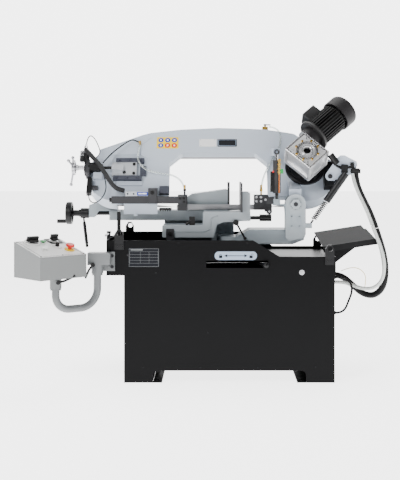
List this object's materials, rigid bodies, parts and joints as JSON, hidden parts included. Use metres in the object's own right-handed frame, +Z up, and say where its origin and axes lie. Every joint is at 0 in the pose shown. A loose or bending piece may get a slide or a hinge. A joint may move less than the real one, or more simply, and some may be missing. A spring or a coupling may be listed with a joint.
{
  "type": "band saw",
  "caption": "Horizontal mitring metal band saw with leaning bow, geared motor, bar vise, coolant tray, sheet cabinet and control box on a swinging arm.",
  "frame": {"origin": "centre of the cabinet's footprint on the floor", "axes": "+X to the operator's right along the blade, +Y away from the operator along the bar, +Z up"},
  "size_m": [1.8698, 0.961, 1.4534],
  "materials": {
    "black_paint": "satin",
    "grey_paint": "satin",
    "box_grey": "satin",
    "steel": "brushed",
    "blade_steel": "brushed",
    "cast_alloy": "cast",
    "black_steel": "satin",
    "dark_iron": "machined",
    "black_plastic": "matte",
    "red_plastic": "gloss",
    "green_plastic": "gloss",
    "white_plastic": "gloss",
    "yellow_plastic": "matte",
    "black_rubber": "matte",
    "hose_white": "satin",
    "chrome": "polished"
  },
  "bodies": {
    "root": {"cabinet": "black_paint", "chip_tray": "black_paint", "lifting_lugs": "black_steel", "panel_fasteners": "steel", "coolant_tank": "black_paint", "coolant_pump": "black_steel", "vise_bed": "grey_paint", "fixed_jaw": "dark_iron", "screw_housing": "grey_paint", "arm_bracket": "grey_paint", "bar_stop": "black_steel", "outlet_chute": "black_paint", "side_glands": "black_plastic", "mains_lead": "black_rubber", "conduit_lower": "black_rubber", "hose_lower": "hose_white"},
    "mitre_lock": {"mitre_lock_lever": "black_steel"},
    "swivel": {"swivel_base": "grey_paint"},
    "bow": {"bow_frame": "grey_paint", "saw_blade": "blade_steel", "gearbox": "cast_alloy", "gearbox_bolts": "steel", "motor": "black_steel", "fan_cowl": "black_steel", "slide_gibs": "dark_iron", "tension_bracket": "black_steel", "arm_clamp_block": "dark_iron", "right_guide": "dark_iron", "bow_brackets": "grey_paint", "spring_tube": "black_steel", "conduit_upper": "black_rubber", "hose_upper": "hose_white"},
    "drive": {"drive_wheel": "dark_iron"},
    "rotor": {"motor_rotor": "steel"},
    "tension": {"tension_slide": "cast_alloy"},
    "idler": {"idler_wheel": "dark_iron"},
    "tension_hand": {"tension_wheel": "steel"},
    "tap": {"tap_lever": "black_plastic"},
    "guide": {"guide_arm": "dark_iron", "blade_cover": "dark_iron"},
    "jaw": {"moving_jaw": "grey_paint"},
    "handwheel": {"vise_handwheel": "black_steel"},
    "grip": {"crank_grip": "black_plastic"},
    "rapid_lever": {"jaw_rapid_lever": "black_steel"},
    "vise_lock": {"vise_lock_lever": "black_plastic"},
    "fine_knob": {"mitre_knob": "black_plastic"},
    "cylinder": {"feed_cylinder": "chrome"},
    "piston": {"feed_rod": "chrome"},
    "spring": {"spring_hook": "black_steel", "return_spring": "black_steel"},
    "arm": {"control_arm": "grey_paint"},
    "box": {"control_box": "box_grey", "panel_bezels": "yellow_plastic"},
    "estop": {"estop_button": "red_plastic"},
    "green": {"green_button": "green_plastic"},
    "white": {"white_button": "white_plastic"},
    "main_sw": {"main_switch": "black_plastic"},
    "mode_sw": {"mode_selector": "black_plastic"},
    "small_sw": {"small_selector": "black_plastic"},
    "stop": {"stop_rod": "steel"}
  },
  "joints": [
    {"name": "mitre_swivel", "type": "hinge", "parent": "root", "child": "swivel", "pos_m": [0.036, 0, 0.69], "axis": [0, 0, 1], "range_deg": [0, 45], "deforming": ["conduit_lower", "hose_lower"]},
    {"name": "bow_lift", "type": "hinge", "parent": "swivel", "child": "bow", "pos_m": [0.344, -0.096, 0.886], "axis": [0, 1, 0], "range_deg": [0, 45], "deforming": ["return_spring", "conduit_upper", "hose_upper"]},
    {"name": "mitre_lock_swing", "type": "hinge", "parent": "root", "child": "mitre_lock", "pos_m": [0.036, 0, 0.592], "axis": [0, 0, 1], "range_deg": [-45, 0]},
    {"name": "drive_spin", "type": "hinge", "parent": "bow", "child": "drive", "pos_m": [0.402, 0.08388, 1.00136], "axis": [0, -0.829, 0.5592], "continuous": true},
    {"name": "rotor_spin", "type": "hinge", "parent": "bow", "child": "rotor", "pos_m": [0.35745, -0.08272, 1.16746], "axis": [0.7071, 0.3954, 0.5862], "continuous": true},
    {"name": "tension_travel", "type": "slide", "parent": "bow", "child": "tension", "axis": [1, 0, 0], "range_m": [0, 0.012]},
    {"name": "idler_spin", "type": "hinge", "parent": "tension", "child": "idler", "pos_m": [-0.58926, 0.08388, 1.00136], "axis": [0, -0.829, 0.5592], "continuous": true},
    {"name": "tension_screw_turn", "type": "hinge", "parent": "bow", "child": "tension_hand", "pos_m": [-0.79, 0.02324, 1.07241], "axis": [1, 0, 0], "range_deg": [-5, 1450]},
    {"name": "tap_turn", "type": "hinge", "parent": "bow", "child": "tap", "pos_m": [0.204, 0.218, 1.3], "axis": [0, 0, 1], "range_deg": [0, 90]},
    {"name": "guide_arm_slide", "type": "slide", "parent": "bow", "child": "guide", "axis": [1, 0, 0], "range_m": [0, 0.19]},
    {"name": "jaw_slide", "type": "slide", "parent": "root", "child": "jaw", "axis": [1, 0, 0], "range_m": [-0.2, 0.05]},
    {"name": "handwheel_turn", "type": "hinge", "parent": "root", "child": "handwheel", "pos_m": [-0.865, 0.12, 0.825], "axis": [1, 0, 0], "range_deg": [-12100, 3100]},
    {"name": "grip_spin", "type": "hinge", "parent": "handwheel", "child": "grip", "pos_m": [-0.9, 0.106, 0.782], "axis": [1, 0, 0], "continuous": true},
    {"name": "rapid_lever_swing", "type": "hinge", "parent": "root", "child": "rapid_lever", "pos_m": [-0.778, 0.12, 0.825], "axis": [1, 0, 0], "range_deg": [-60, 30]},
    {"name": "vise_lock_swing", "type": "hinge", "parent": "root", "child": "vise_lock", "pos_m": [0.037, -0.1182, 0.79], "axis": [0, 1, 0], "range_deg": [-90, 0]},
    {"name": "fine_knob_turn", "type": "hinge", "parent": "root", "child": "fine_knob", "pos_m": [0.19, -0.084, 0.812], "axis": [1, 0, 0], "range_deg": [-180, 180]},
    {"name": "cylinder_swing", "type": "hinge", "parent": "swivel", "child": "cylinder", "pos_m": [0.247, -0.136, 0.905], "axis": [0, 1, 0], "range_deg": [-1, 45]},
    {"name": "piston_travel", "type": "slide", "parent": "cylinder", "child": "piston", "axis": [0, 0, 1], "range_m": [-0.001, 0.075]},
    {"name": "spring_swing", "type": "hinge", "parent": "swivel", "child": "spring", "pos_m": [0.416, -0.128, 0.775], "axis": [0, 1, 0], "range_deg": [-1, 46]},
    {"name": "arm_swing", "type": "hinge", "parent": "root", "child": "arm", "pos_m": [-0.654, -0.35, 0.58], "axis": [0, 0, 1], "range_deg": [-40, 30]},
    {"name": "box_turn", "type": "hinge", "parent": "arm", "child": "box", "pos_m": [-0.841, -0.47, 0.506], "axis": [0, 0, 1], "range_deg": [-45, 60]},
    {"name": "estop_press", "type": "slide", "parent": "box", "child": "estop", "axis": [-0.1825, 0.189, -0.9649], "range_m": [0, 0.006], "stiffness_N_per_m": 400},
    {"name": "green_press", "type": "slide", "parent": "box", "child": "green", "axis": [-0.1825, 0.189, -0.9649], "range_m": [0, 0.004], "stiffness_N_per_m": 400},
    {"name": "white_press", "type": "slide", "parent": "box", "child": "white", "axis": [-0.1825, 0.189, -0.9649], "range_m": [0, 0.004], "stiffness_N_per_m": 400},
    {"name": "main_switch_turn", "type": "hinge", "parent": "box", "child": "main_sw", "pos_m": [-0.95752, -0.45442, 0.71124], "axis": [0.1825, -0.189, 0.9649], "range_deg": [0, 90]},
    {"name": "mode_selector_turn", "type": "hinge", "parent": "box", "child": "mode_sw", "pos_m": [-0.86913, -0.36284, 0.71246], "axis": [0.1825, -0.189, 0.9649], "range_deg": [-45, 45]},
    {"name": "small_selector_turn", "type": "hinge", "parent": "box", "child": "small_sw", "pos_m": [-0.8391, -0.43972, 0.69172], "axis": [0.1825, -0.189, 0.9649], "range_deg": [-45, 45]},
    {"name": "stop_rod_slide", "type": "slide", "parent": "root", "child": "stop", "axis": [0, 1, 0], "range_m": [-0.08, 0.08]}
  ],
  "couplings": [
    {"joint": "rotor_spin", "follows": "drive_spin", "ratio": -30},
    {"joint": "idler_spin", "follows": "drive_spin", "ratio": 1},
    {"joint": "tension_screw_turn", "follows": "tension_travel", "rad_per_m": 2094.4},
    {"joint": "handwheel_turn", "follows": "jaw_slide", "rad_per_m": 1047.2},
    {"joint": "cylinder_swing", "follows": "bow_lift", "ratio": 0.96},
    {"joint": "piston_travel", "follows": "bow_lift", "m_per_rad": 0.0932},
    {"joint": "spring_swing", "follows": "bow_lift", "ratio": 1}
  ]
}
